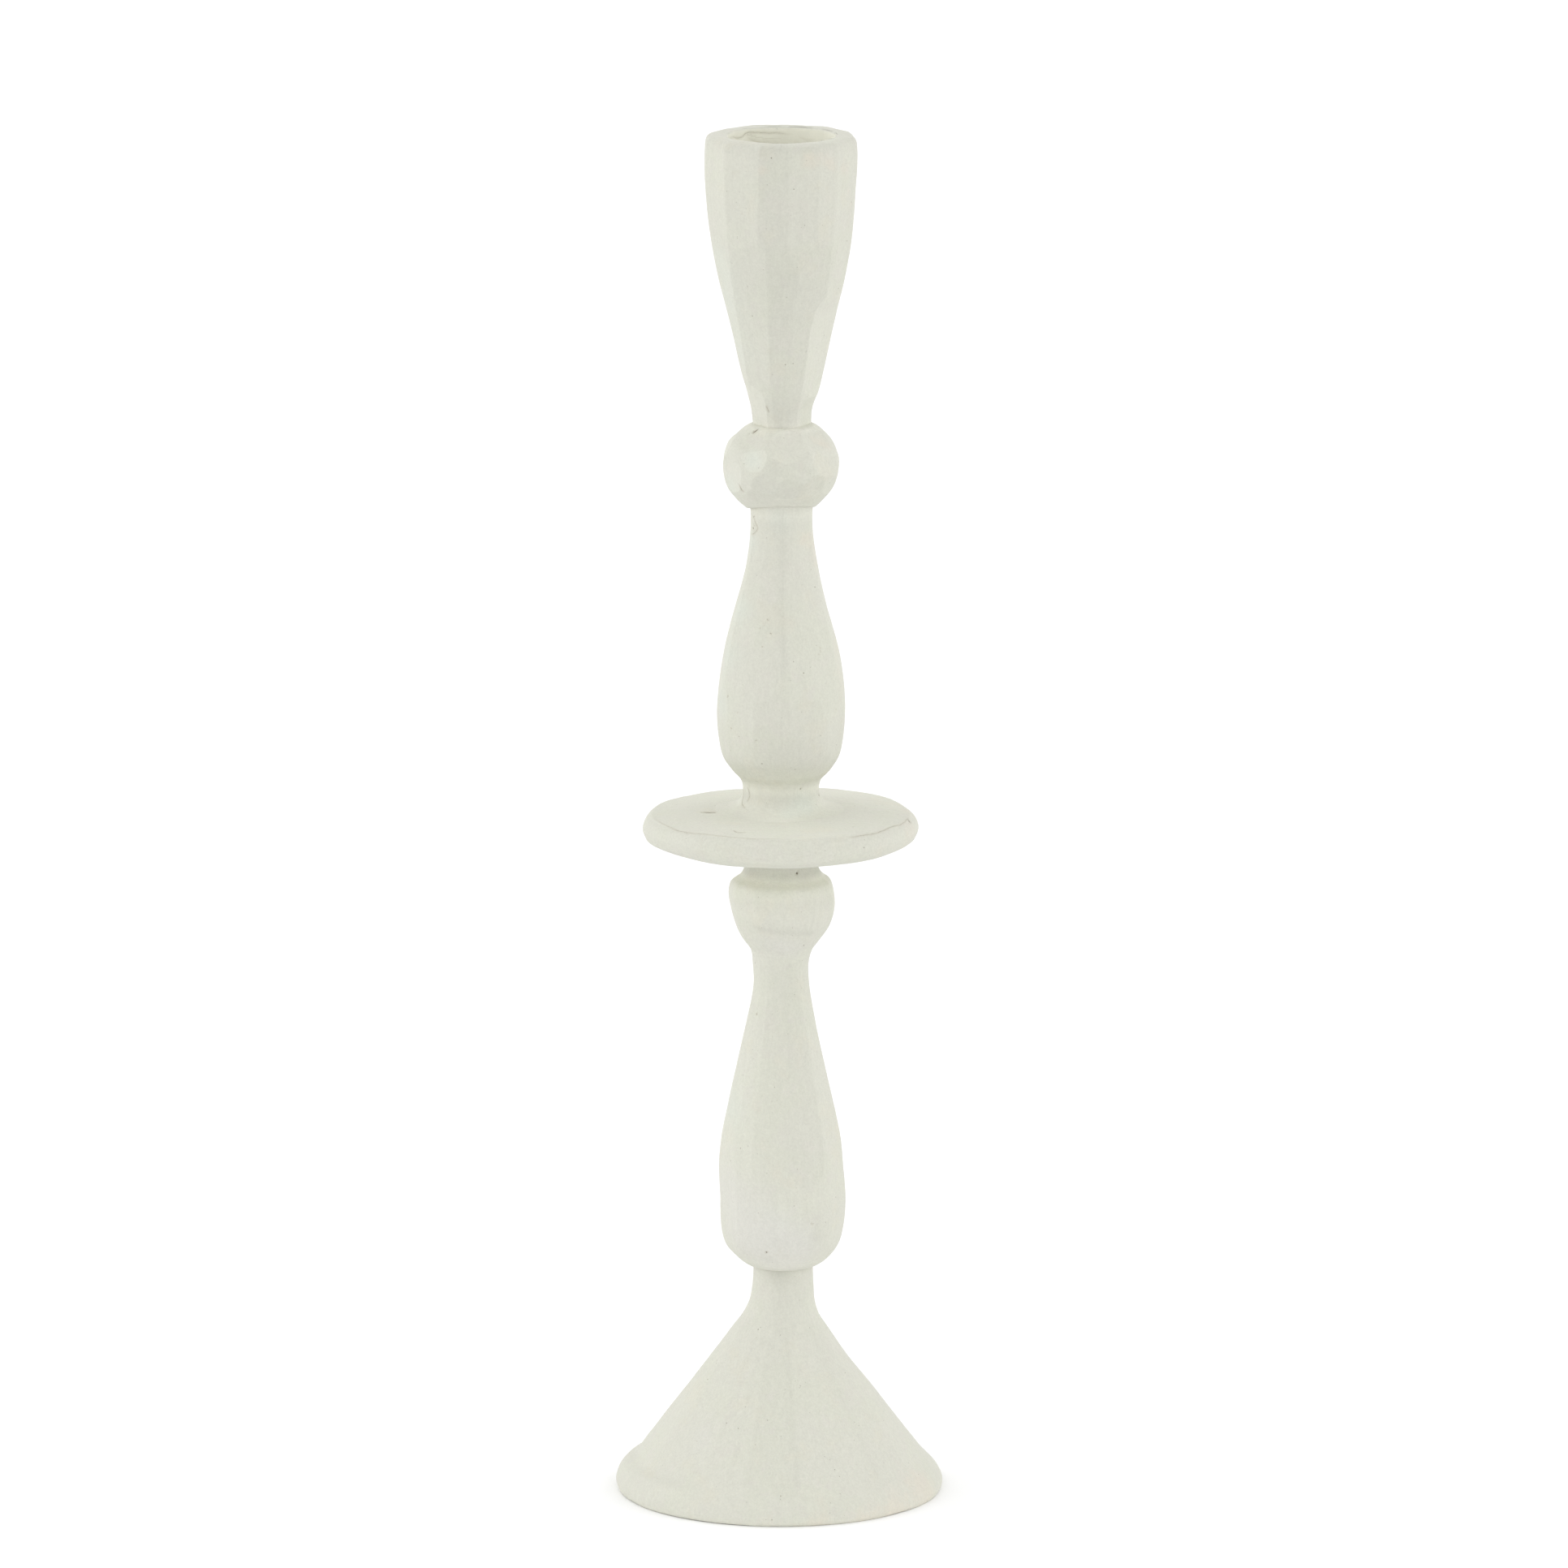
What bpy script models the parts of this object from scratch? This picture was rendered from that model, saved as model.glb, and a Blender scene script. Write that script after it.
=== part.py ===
"""Carved wooden candlestick, painted off-white, built up from six wooden sections.

The sections stand on each other along +Z: foot, lower column, drip plate, upper column, knop
and candle cup. A long screw in the foot, one dowel through the plate and one dowel through the
knop hold the stack together. A felt pad let into the foot closes it. The origin is on the table, under the
middle of the foot. Every number below is in millimetres and becomes metres in the mesh.
"""

import math

import bmesh
import bpy
from mathutils import Vector
from mathutils.geometry import interpolate_bezier

MM = 0.001
GAP = 0.3  # clearance left between two pieces that touch

# Felt pad, let into the underside of the foot. It holds the wood just clear of the table.
FELT_RADIUS = 33.0
FELT_THICKNESS = 1.0
WOOD_BASE = 0.3
PAD_RECESS_DEPTH = FELT_THICKNESS + GAP - WOOD_BASE

# Levels of the glued joints and of the rim, above the underside of the wood
FOOT_TOP = 50.6
LOWER_TOP = 149.8
PLATE_TOP = 157.4
UPPER_TOP = 226.0
KNOP_TOP = 245.2
RIM_TOP = 310.8

# Candle socket, for a 22 mm dinner candle
MOUTH_RADIUS = 12.0
SOCKET_FLOOR_RADIUS = 11.2
SOCKET_DEPTH = 25.0

# Dowels: radius, and the levels of their lower and upper ends
PLATE_DOWEL_RADIUS = 4.0
PLATE_DOWEL_SPAN = (134.0, 174.0)
KNOP_DOWEL_RADIUS = 3.0
KNOP_DOWEL_SPAN = (210.5, 260.5)
DOWEL_CHAMFER = 1.0
FLUTES = 8
FLUTE_DEPTH = 0.25

# Foot screw and washer, sunk in a counterbore above the pad
COUNTERBORE_RADIUS = 6.5
COUNTERBORE_DEPTH = 8.0
WASHER_RADIUS = 6.0
WASHER_THICKNESS = 1.0
HEAD_RADIUS = 4.6
HEAD_HEIGHT = 3.0
HEAD_FACE_RADIUS = 3.7
HEAD_ROUNDING = 1.2
RECESS_DEPTH = 1.8
RECESS_ARM = 2.6
RECESS_HALF_WIDTH = 0.8
SHANK_RADIUS = 1.9
THREAD_RADIUS = 2.5
THREAD_CORE_RADIUS = 1.7
THREAD_PITCH = 2.6
THREAD_LENGTH = 36.0
RIDGE_SHARE = 2 / 3  # part of the pitch taken up by the foot of the thread's ridge
SCREW_LENGTH = 70.0
TIP_SHORTENING = 2.6  # room left between the point and the end of the pilot hole
POINT_LENGTH = 5.0
POINT_TAPER = 0.6  # part of the thread's radius left halfway along the point
TIP_RADIUS = 0.17
RINGS_PER_TURN = 5

# Finishes: linear colour and roughness
PAINT = ((0.74, 0.74, 0.66), 0.72)
FELT = ((0.62, 0.60, 0.52), 0.95)
BEECH = ((0.60, 0.42, 0.24), 0.6)
WASHER_STEEL = ((0.55, 0.55, 0.56), 0.35)
SCREW_STEEL = ((0.62, 0.60, 0.52), 0.3)

# Fineness of the meshes
WOOD_SEGMENTS = 32
DOWEL_SEGMENTS = 4 * FLUTES
SCREW_SEGMENTS = 16
RING_SPACING = 4.0
SMOOTH_ANGLE = math.radians(35)

# Outlines of the sections, bottom to top. The carving is a little uneven, so each station gives
# (height above the underside of the wood, reach to the left, reach to the right).
FOOT_TOE = [(0.0, 37.0, 36.3), (1.2, 37.6, 36.8), (3.4, 37.2, 35.9), (5.6, 35.7, 34.0)]
FOOT_CONE = [(7.4, 33.2, 32.3), (21.0, 23.0, 22.1), (32.5, 14.3, 13.5), (36.6, 11.3, 10.8)]
FOOT_NECK = [(40.2, 8.6, 8.5), (43.2, 7.2, 7.6), (47.0, 6.5, 7.3), (FOOT_TOP, 6.2, 7.1)]
LOWER_BALUSTER = [
    (FOOT_TOP + GAP, 6.1, 6.9),
    (52.0, 7.6, 8.4),
    (54.2, 10.5, 11.4),
    (57.0, 12.8, 13.2),
    (61.5, 13.8, 14.3),
    (68.0, 13.9, 14.7),
    (75.0, 14.1, 14.1),
    (82.0, 13.4, 13.4),
    (90.0, 11.8, 11.8),
    (100.0, 9.5, 9.6),
    (110.0, 7.4, 7.4),
    (117.0, 6.2, 6.3),
    (122.0, 6.4, 6.2),
    (124.5, 6.7, 6.8),
]
LOWER_BULB = [
    (127.6, 8.9, 8.8),
    (131.0, 10.5, 11.1),
    (134.5, 11.5, 12.1),
    (137.8, 12.0, 12.0),
    (140.3, 11.5, 11.4),
    (142.4, 9.0, 9.2),
    (144.5, 8.1, 8.2),
    (LOWER_TOP, 8.2, 8.2),
]
PLATE_EDGE = [
    (LOWER_TOP + GAP, 28.8, 28.6),
    (151.0, 30.5, 30.3),
    (153.2, 31.3, 31.1),
    (155.2, 30.6, 30.5),
]
PLATE_ARRIS = (156.4, 29.3, 29.2)
PLATE_SEAT_RADIUS = 12.0  # flat middle of the plate, under the upper column
UPPER_COLLAR = [
    (PLATE_TOP + GAP, 11.2, 11.2),
    (159.0, 9.7, 9.7),
    (161.6, 8.6, 8.5),
    (163.9, 8.9, 8.8),
    (166.4, 10.9, 11.0),
    (169.6, 13.1, 13.0),
    (174.0, 14.1, 14.0),
    (179.6, 14.5, 14.5),
    (187.0, 13.9, 14.1),
    (195.5, 12.5, 12.5),
    (204.8, 10.1, 9.9),
    (212.2, 8.1, 8.3),
    (218.5, 7.1, 7.3),
    (223.3, 6.8, 7.0),
    (UPPER_TOP, 7.0, 7.2),
]
KNOP_BALL = [
    (UPPER_TOP + GAP, 7.7, 7.6),
    (228.4, 9.9, 9.7),
    (231.5, 12.2, 11.9),
    (236.0, 13.1, 13.1),
    (240.6, 12.0, 12.0),
    (243.6, 9.5, 9.7),
    (KNOP_TOP, 7.2, 7.6),
]
CUP_WALL = [
    (KNOP_TOP + GAP, 6.2, 6.7),
    (249.0, 6.8, 7.0),
    (253.0, 7.8, 8.4),
    (258.4, 9.3, 9.7),
    (267.5, 11.2, 11.6),
    (277.0, 13.5, 13.9),
    (288.0, 15.7, 15.9),
    (299.0, 16.9, 16.8),
    (308.0, 17.0, 17.1),
]
CUP_LIP = [(309.8, 16.8, 16.9), (310.5, 16.3, 16.5), (RIM_TOP, 15.4, 15.7)]


def make_material(name, finish, metallic=0.0):
    colour, roughness = finish
    material = bpy.data.materials.new(name)
    material.use_nodes = True
    shader = material.node_tree.nodes["Principled BSDF"]
    shader.inputs["Base Color"].default_value = (*colour, 1.0)
    shader.inputs["Roughness"].default_value = roughness
    shader.inputs["Metallic"].default_value = metallic
    material.diffuse_color = (*colour, 1.0)
    return material


def round_ring(height, radius):
    """A round ring: its height, and its radius as a function of the angle."""
    return height, lambda angle: radius


def oval_ring(height, left, right):
    """A ring that reaches left along -X and right along +X, with an even change between."""
    return height, lambda angle: (right + left + (right - left) * math.cos(angle)) / 2


def smooth_outline(stations):
    """Rings along a smooth curve through the stations, one about every RING_SPACING."""
    knots = [Vector(station) for station in stations]
    chords = [end - start for start, end in zip(knots, knots[1:])]
    lengths = [chord.length for chord in chords]
    slopes = [chord.normalized() for chord in chords]
    tangents = [slopes[0]]
    for before, after, far, near in zip(slopes, slopes[1:], lengths, lengths[1:]):
        tangents.append((before * near + after * far) / (near + far))
    tangents.append(slopes[-1])
    points = [knots[0]]
    for index, length in enumerate(lengths):
        steps = max(1, round(length / RING_SPACING))
        reach = length / 3
        start_handle = knots[index] + tangents[index] * reach
        end_handle = knots[index + 1] - tangents[index + 1] * reach
        curve = interpolate_bezier(
            knots[index], start_handle, end_handle, knots[index + 1], steps + 1
        )
        points.extend(curve[1:])
    return [oval_ring(*point) for point in points]


def lathe(name, rings, material, segments=WOOD_SEGMENTS, through=False):
    """One closed solid from rings listed in order along its cut outline.

    The outline runs up the outside. With through, its last ring joins its first one, around a
    bore. Otherwise both ends are closed by flat discs, such as the floor of a blind bore.
    """
    mesh = bmesh.new()
    loops = []
    for height, radius_at in rings:
        loop = []
        for step in range(segments):
            angle = math.tau * step / segments
            radius = radius_at(angle) * MM
            place = (radius * math.cos(angle), radius * math.sin(angle), height * MM)
            loop.append(mesh.verts.new(place))
        loops.append(loop)
    following = loops[1:] + loops[:1] if through else loops[1:]
    for lower, upper in zip(loops, following):
        for step in range(segments):
            after = (step + 1) % segments
            mesh.faces.new((lower[step], lower[after], upper[after], upper[step]))
    if not through:
        mesh.faces.new(reversed(loops[0]))
        mesh.faces.new(loops[-1])
    data = bpy.data.meshes.new(name)
    mesh.to_mesh(data)
    mesh.free()
    data.materials.append(material)
    data.shade_smooth()
    data.set_sharp_from_angle(angle=SMOOTH_ANGLE)
    piece = bpy.data.objects.new(name, data)
    bpy.context.scene.collection.objects.link(piece)
    return piece


def on_foot(piece):
    """Raises a piece measured from the underside of the wood to its height above the table."""
    piece.location.z = WOOD_BASE * MM
    return piece


def make_felt_pad(material):
    rings = [round_ring(0.0, FELT_RADIUS), round_ring(FELT_THICKNESS, FELT_RADIUS)]
    return lathe("felt_pad", rings, material)


def make_foot(material):
    screw_hole = THREAD_RADIUS + GAP
    pad_recess = FELT_RADIUS + GAP
    rings = [
        *smooth_outline(FOOT_TOE + FOOT_CONE[:1]),
        *smooth_outline(FOOT_CONE)[1:],
        *smooth_outline(FOOT_CONE[-1:] + FOOT_NECK)[1:],
        round_ring(FOOT_TOP, screw_hole),
        round_ring(COUNTERBORE_DEPTH, screw_hole),
        round_ring(COUNTERBORE_DEPTH, COUNTERBORE_RADIUS),
        round_ring(PAD_RECESS_DEPTH, COUNTERBORE_RADIUS),
        round_ring(PAD_RECESS_DEPTH, pad_recess),
        round_ring(0.0, pad_recess),
    ]
    return on_foot(lathe("foot", rings, material, through=True))


def make_lower_column(material):
    pilot_hole = THREAD_RADIUS + GAP
    pilot_end = COUNTERBORE_DEPTH + SCREW_LENGTH
    bore = PLATE_DOWEL_RADIUS + GAP
    rings = [
        round_ring(pilot_end, pilot_hole),
        round_ring(FOOT_TOP + GAP, pilot_hole),
        *smooth_outline(LOWER_BALUSTER),
        *smooth_outline(LOWER_BALUSTER[-1:] + LOWER_BULB)[1:],
        round_ring(LOWER_TOP, bore),
        round_ring(PLATE_DOWEL_SPAN[0] - GAP, bore),
    ]
    return on_foot(lathe("lower_column", rings, material))


def make_drip_plate(material):
    bore = PLATE_DOWEL_RADIUS + GAP
    seat = (PLATE_TOP, PLATE_SEAT_RADIUS, PLATE_SEAT_RADIUS)
    rings = [
        *smooth_outline(PLATE_EDGE + [PLATE_ARRIS]),
        *smooth_outline([PLATE_ARRIS, seat])[1:],
        round_ring(PLATE_TOP, bore),
        round_ring(LOWER_TOP + GAP, bore),
    ]
    return on_foot(lathe("drip_plate", rings, material, through=True))


def make_upper_column(material):
    lower_bore = PLATE_DOWEL_RADIUS + GAP
    upper_bore = KNOP_DOWEL_RADIUS + GAP
    rings = [
        round_ring(PLATE_DOWEL_SPAN[1] + GAP, lower_bore),
        round_ring(PLATE_TOP + GAP, lower_bore),
        *smooth_outline(UPPER_COLLAR),
        round_ring(UPPER_TOP, upper_bore),
        round_ring(KNOP_DOWEL_SPAN[0] - GAP, upper_bore),
    ]
    return on_foot(lathe("upper_column", rings, material))


def make_knop(material):
    bore = KNOP_DOWEL_RADIUS + GAP
    rings = [
        *smooth_outline(KNOP_BALL),
        round_ring(KNOP_TOP, bore),
        round_ring(UPPER_TOP + GAP, bore),
    ]
    return on_foot(lathe("knop", rings, material, through=True))


def make_candle_cup(material):
    bore = KNOP_DOWEL_RADIUS + GAP
    rings = [
        round_ring(KNOP_DOWEL_SPAN[1] + GAP, bore),
        round_ring(KNOP_TOP + GAP, bore),
        *smooth_outline(CUP_WALL + CUP_LIP),
        round_ring(RIM_TOP, MOUTH_RADIUS),
        round_ring(RIM_TOP - SOCKET_DEPTH, SOCKET_FLOOR_RADIUS),
    ]
    return on_foot(lathe("candle_cup", rings, material))


def make_dowel(name, radius, span, material):
    """A fluted dowel with chamfered ends."""

    def fluted(height):
        return height, lambda angle: radius - FLUTE_DEPTH * (1 + math.cos(FLUTES * angle)) / 2

    bottom, top = span
    rings = [
        round_ring(bottom, radius - DOWEL_CHAMFER),
        fluted(bottom + DOWEL_CHAMFER),
        fluted(top - DOWEL_CHAMFER),
        round_ring(top, radius - DOWEL_CHAMFER),
    ]
    return on_foot(lathe(name, rings, material, segments=DOWEL_SEGMENTS))


def make_foot_washer(material):
    top = COUNTERBORE_DEPTH - GAP
    bottom = top - WASHER_THICKNESS
    hole = THREAD_RADIUS + GAP
    rings = [
        round_ring(bottom, WASHER_RADIUS),
        round_ring(top, WASHER_RADIUS),
        round_ring(top, hole),
        round_ring(bottom, hole),
    ]
    return on_foot(lathe("foot_washer", rings, material, through=True))


def recess_ring(height):
    """A ring of the cross recess: two crossed bars, seen as a radius at each angle."""

    def radius_at(angle):
        along, across = abs(math.cos(angle)), abs(math.sin(angle))
        bars = []
        for lengthways, sideways in ((along, across), (across, along)):
            to_end = RECESS_ARM / max(lengthways, 1e-6)
            to_side = RECESS_HALF_WIDTH / max(sideways, 1e-6)
            bars.append(min(to_end, to_side))
        return max(bars)

    return height, radius_at


def thread_ring(height, taper=1.0):
    """A ring across the thread, whose ridge climbs one pitch with each turn."""

    def radius_at(angle):
        turn = (height / THREAD_PITCH - angle / math.tau) % 1.0
        ridge = max(0.0, 1.0 - abs(turn - 0.5) * 2 / RIDGE_SHARE)
        return taper * (THREAD_CORE_RADIUS + (THREAD_RADIUS - THREAD_CORE_RADIUS) * ridge)

    return height, radius_at


def make_foot_screw(material):
    seat = COUNTERBORE_DEPTH - 2 * GAP - WASHER_THICKNESS
    bottom = seat - HEAD_HEIGHT
    tip = COUNTERBORE_DEPTH - GAP + SCREW_LENGTH - TIP_SHORTENING
    thread_end = tip - POINT_LENGTH
    thread_start = thread_end - THREAD_LENGTH
    count = round(THREAD_LENGTH / THREAD_PITCH * RINGS_PER_TURN)
    step = THREAD_LENGTH / count
    rings = [
        recess_ring(bottom + RECESS_DEPTH),
        recess_ring(bottom),
        round_ring(bottom, HEAD_FACE_RADIUS),
        round_ring(bottom + HEAD_ROUNDING, HEAD_RADIUS),
        round_ring(seat, HEAD_RADIUS),
        round_ring(seat, SHANK_RADIUS),
        round_ring(thread_start - step, SHANK_RADIUS),
        *(thread_ring(thread_start + index * step) for index in range(count + 1)),
        thread_ring(thread_end + POINT_LENGTH / 2, taper=POINT_TAPER),
        round_ring(tip, TIP_RADIUS),
    ]
    return on_foot(lathe("foot_screw", rings, material, segments=SCREW_SEGMENTS))


def build_candlestick():
    for leftover in list(bpy.data.objects):
        bpy.data.objects.remove(leftover)
    paint = {
        name: make_material(f"{name}_paint", PAINT)
        for name in ("foot", "lower", "plate", "upper", "knop", "cup")
    }
    make_felt_pad(make_material("felt", FELT))
    make_foot(paint["foot"])
    make_lower_column(paint["lower"])
    make_drip_plate(paint["plate"])
    make_upper_column(paint["upper"])
    make_knop(paint["knop"])
    make_candle_cup(paint["cup"])
    plate_beech = make_material("plate_dowel_beech", BEECH)
    knop_beech = make_material("knop_dowel_beech", BEECH)
    make_dowel("plate_dowel", PLATE_DOWEL_RADIUS, PLATE_DOWEL_SPAN, plate_beech)
    make_dowel("knop_dowel", KNOP_DOWEL_RADIUS, KNOP_DOWEL_SPAN, knop_beech)
    make_foot_washer(make_material("washer_steel", WASHER_STEEL, metallic=1.0))
    make_foot_screw(make_material("screw_steel", SCREW_STEEL, metallic=1.0))


build_candlestick()
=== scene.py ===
"""Looks of a hand-carved wooden candlestick, painted matte off-white, on a pale studio floor.

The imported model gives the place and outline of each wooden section. Each section is made again
here as a fine mesh: its outline is smoothed, knife cuts and dents are carved into it, cracks are
opened, and it is painted with a node material. Lengths in the shape code are in millimetres.
"""

import math

import bpy
import numpy as np
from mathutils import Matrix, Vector


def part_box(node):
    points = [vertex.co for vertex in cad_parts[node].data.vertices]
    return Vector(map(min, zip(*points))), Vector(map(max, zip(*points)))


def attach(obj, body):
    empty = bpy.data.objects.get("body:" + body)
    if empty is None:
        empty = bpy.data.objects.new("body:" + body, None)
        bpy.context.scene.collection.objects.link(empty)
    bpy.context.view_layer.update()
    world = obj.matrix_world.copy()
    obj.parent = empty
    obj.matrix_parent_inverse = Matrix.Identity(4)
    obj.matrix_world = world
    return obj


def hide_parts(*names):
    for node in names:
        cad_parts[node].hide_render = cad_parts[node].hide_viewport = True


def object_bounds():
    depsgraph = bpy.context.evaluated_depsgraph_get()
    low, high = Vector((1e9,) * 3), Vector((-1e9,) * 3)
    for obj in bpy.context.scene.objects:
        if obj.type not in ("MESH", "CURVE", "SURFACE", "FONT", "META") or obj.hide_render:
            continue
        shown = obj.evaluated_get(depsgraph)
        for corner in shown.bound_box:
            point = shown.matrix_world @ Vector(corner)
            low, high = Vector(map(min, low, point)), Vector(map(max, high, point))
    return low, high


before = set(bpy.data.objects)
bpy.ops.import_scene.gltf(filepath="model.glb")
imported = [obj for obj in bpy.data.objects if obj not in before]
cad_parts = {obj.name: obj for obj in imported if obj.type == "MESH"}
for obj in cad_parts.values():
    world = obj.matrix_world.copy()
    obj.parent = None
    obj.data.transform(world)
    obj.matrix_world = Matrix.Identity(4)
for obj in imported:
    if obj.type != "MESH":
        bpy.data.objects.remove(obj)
cad_low, cad_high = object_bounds()

MM = 0.001
BODY = "root"
TAU = math.tau

# Camera, in metres: a long lens above the height of the cup, aimed at the middle of the stem
CAMERA_DISTANCE = 2.83
CAMERA_HEIGHT = 0.747
CAMERA_ASIDE = 0.00064
AIM_HEIGHT = 0.16326
LENS_MM = 294.34
SENSOR_MM = 36.0

# Outlines
PLANE_TOLERANCE = 0.01  # corners this near to the cut plane lie on it
LEVEL_TOLERANCE = 0.02  # stations this near in height are level
CORNER_ANGLE = math.radians(38)  # a sharper turn of the outline than this is an edge
JOINT_OVERLAP = 0.45  # how far the paint carries a section into the next one, over the CAD gap
FACE_SPACING = 2.0  # between the rows in the middle of a level face
FACE_EDGE = 0.15  # share of a level face, at each of its edges, that keeps close rows

# Knife work
FLAT_RUN_OUT = 3.0  # length over which a flat begins and ends
FLAT_LIMIT = 1.2  # radians from a flat's middle where its plane is no longer followed
CUT_BLEND = 0.08  # roundness of the edge where two knife cuts meet
BEYOND = 1e3  # a radius that no wood reaches

# Dents all over a section: their length along each axis, and their depth
BROAD_DENT = (15, 15, 20)
DENTS = [((5, 5, 8), 0.07), ((1.6, 1.6, 9), 0.03), ((0.8, 0.8, 1.6), 0.016)]

# Cracks
CRACK_STEP = 0.6
CRACK_WANDER = 0.22  # how far a crack strays to either side
CRACK_WANDER_SIZE = 1.3
CRACK_SEARCH = 2.5  # how far from a crack the surface still knows about it
NO_CRACK = 9.0
GROOVE_WIDTH = 0.3
GROOVE_DEPTH = 0.35  # where a crack is as wide as its groove

# Candle socket
SOCKET_WALL = 12.6
SOCKET_LOWEST = 26.0  # below the rim


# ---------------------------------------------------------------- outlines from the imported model


def node_points(node):
    """The node's distinct corner points in mm, and the pairs of them that an edge joins."""
    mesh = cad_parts[node].data
    corners = np.empty(len(mesh.vertices) * 3)
    mesh.vertices.foreach_get("co", corners)
    corners = corners.reshape(-1, 3) / MM
    keys = np.round(corners, 3)
    points, index = np.unique(keys, axis=0, return_inverse=True)
    index = index.reshape(-1)
    edges = np.empty(len(mesh.edges) * 2, int)
    mesh.edges.foreach_get("vertices", edges)
    return points, index[edges.reshape(-1, 2)]


def meridian(node, side):
    """(reach, height) along the cut outline on one side (+1 right, -1 left), from the bottom."""
    points, edges = node_points(node)
    on_cut = (np.abs(points[:, 1]) < PLANE_TOLERANCE) & (points[:, 0] * side > 0)
    links = {int(i): set() for i in np.flatnonzero(on_cut)}
    for a, b in edges[on_cut[edges[:, 0]] & on_cut[edges[:, 1]]]:
        if a != b:
            links[int(a)].add(int(b))
            links[int(b)].add(int(a))

    def height(i):
        return round(points[i, 2], 2)

    def reach(i):
        return abs(points[i, 0])

    ends = [i for i in links if len(links[i]) == 1]
    lowest = min(height(i) for i in links)
    if ends:
        start = min(ends, key=height)
    else:
        start = min((i for i in links if height(i) == lowest), key=reach)
    path, step = [start], max(links[start], key=lambda i: (height(i) == height(start), reach(i)))
    while step is not None:
        path.append(step)
        ahead = links[step] - set(path)
        step = min(ahead, default=None)
    return np.array([(reach(i), points[i, 2]) for i in path])


def node_outline(node):
    """Stations (height, left reach, right reach) round the node's cut outline, in mm. A station
    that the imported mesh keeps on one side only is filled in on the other."""
    left, right = meridian(node, -1), meridian(node, +1)
    stations, i, j = [], 0, 0
    while i < len(left) and j < len(right):
        if abs(left[i, 1] - right[j, 1]) < LEVEL_TOLERANCE:
            stations.append((right[j, 1], left[i, 0], right[j, 0]))
            i, j = i + 1, j + 1
        elif np.any(np.abs(left[i : i + 4, 1] - right[j, 1]) < LEVEL_TOLERANCE):
            height = left[i, 1]
            stations.append((height, left[i, 0], reach_between(right[j - 1], right[j], height)))
            i += 1
        else:
            height = right[j, 1]
            stations.append((height, reach_between(left[i - 1], left[i], height), right[j, 0]))
            j += 1
    return np.array(stations)


def reach_between(start, end, height):
    """The reach at a height on the straight line between two outline points."""
    share = (height - start[1]) / (end[1] - start[1])
    return start[0] + share * (end[0] - start[0])


def smooth_run(knots, spacing):
    """Points about spacing apart on a smooth curve through the knots."""
    if len(knots) == 2:
        tangents = [knots[1] - knots[0]] * 2
        tangents = [t / np.linalg.norm(t) for t in tangents]
        lengths = [np.linalg.norm(knots[1] - knots[0])]
    else:
        chords = np.diff(knots, axis=0)
        lengths = np.linalg.norm(chords, axis=1)
        slopes = chords / lengths[:, None]
        inner = slopes[:-1] * lengths[1:, None] + slopes[1:] * lengths[:-1, None]
        inner /= (lengths[1:] + lengths[:-1])[:, None]
        tangents = [slopes[0], *inner, slopes[-1]]
    points = []
    for start, end, leave, arrive, length in zip(knots, knots[1:], tangents, tangents[1:], lengths):
        count = max(1, round(length / spacing))
        t = (np.arange(count) / count)[:, None]
        points.append(
            (2 * t**3 - 3 * t**2 + 1) * start
            + (t**3 - 2 * t**2 + t) * leave * length
            + (3 * t**2 - 2 * t**3) * end
            + (t**3 - t**2) * arrive * length
        )
    points.append(knots[-1:])
    return np.concatenate(points)


def turn_angles(stations):
    """How sharply the outline turns at each station, in radians."""
    flat = np.column_stack((stations[:, 0], stations[:, 1:].mean(axis=1)))
    steps = np.diff(flat, axis=0)
    headings = np.arctan2(steps[:, 0], steps[:, 1])
    turns = np.abs((np.diff(headings) + math.pi) % TAU - math.pi)
    return np.concatenate(([math.pi], turns, [math.pi]))


def fine_outline(stations, hidden_start, hidden_end, spacing, rounding):
    """Rows (height, left, right, shown) along the outline, close where it shows, with its edges
    eased. hidden_start and hidden_end count the stations at its ends that lie inside bores."""
    last = len(stations) - hidden_end
    outer = stations[max(hidden_start - 1, 0) : last + min(hidden_end, 1)]
    corners = np.flatnonzero(turn_angles(outer) > CORNER_ANGLE)
    rows = [outer[:1]]
    for start, end in zip(corners, corners[1:]):
        run = outer[start : end + 1]
        level = abs(run[-1, 0] - run[0, 0]) < LEVEL_TOLERANCE
        if level and run[-1, 2] > run[0, 2]:
            near_edge = run[0] + (run[-1] - run[0]) * [[FACE_EDGE], [1 - FACE_EDGE]]
            run = np.concatenate((run[:1], near_edge, run[-1:]))
            for part, size in enumerate((spacing, FACE_SPACING, spacing)):
                rows.append(smooth_run(run[part : part + 2], size)[1:])
        else:
            rows.append(smooth_run(run, spacing)[1:])
    outer = np.concatenate(rows)
    for _ in range(rounding):
        outer[1:-1] = (outer[:-2] + 2 * outer[1:-1] + outer[2:]) / 4
    before = stations[: max(hidden_start - 1, 0)]
    after = stations[last + min(hidden_end, 1) :]
    shown = np.ones(len(outer))
    if hidden_start:
        shown[0] = 0
    if hidden_end:
        shown[-1] = 0
    rows = np.concatenate((before, outer, after))
    shown = np.concatenate((np.zeros(len(before)), shown, np.zeros(len(after))))
    return np.column_stack((rows, shown))


# ---------------------------------------------------------------- noise and carving


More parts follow.
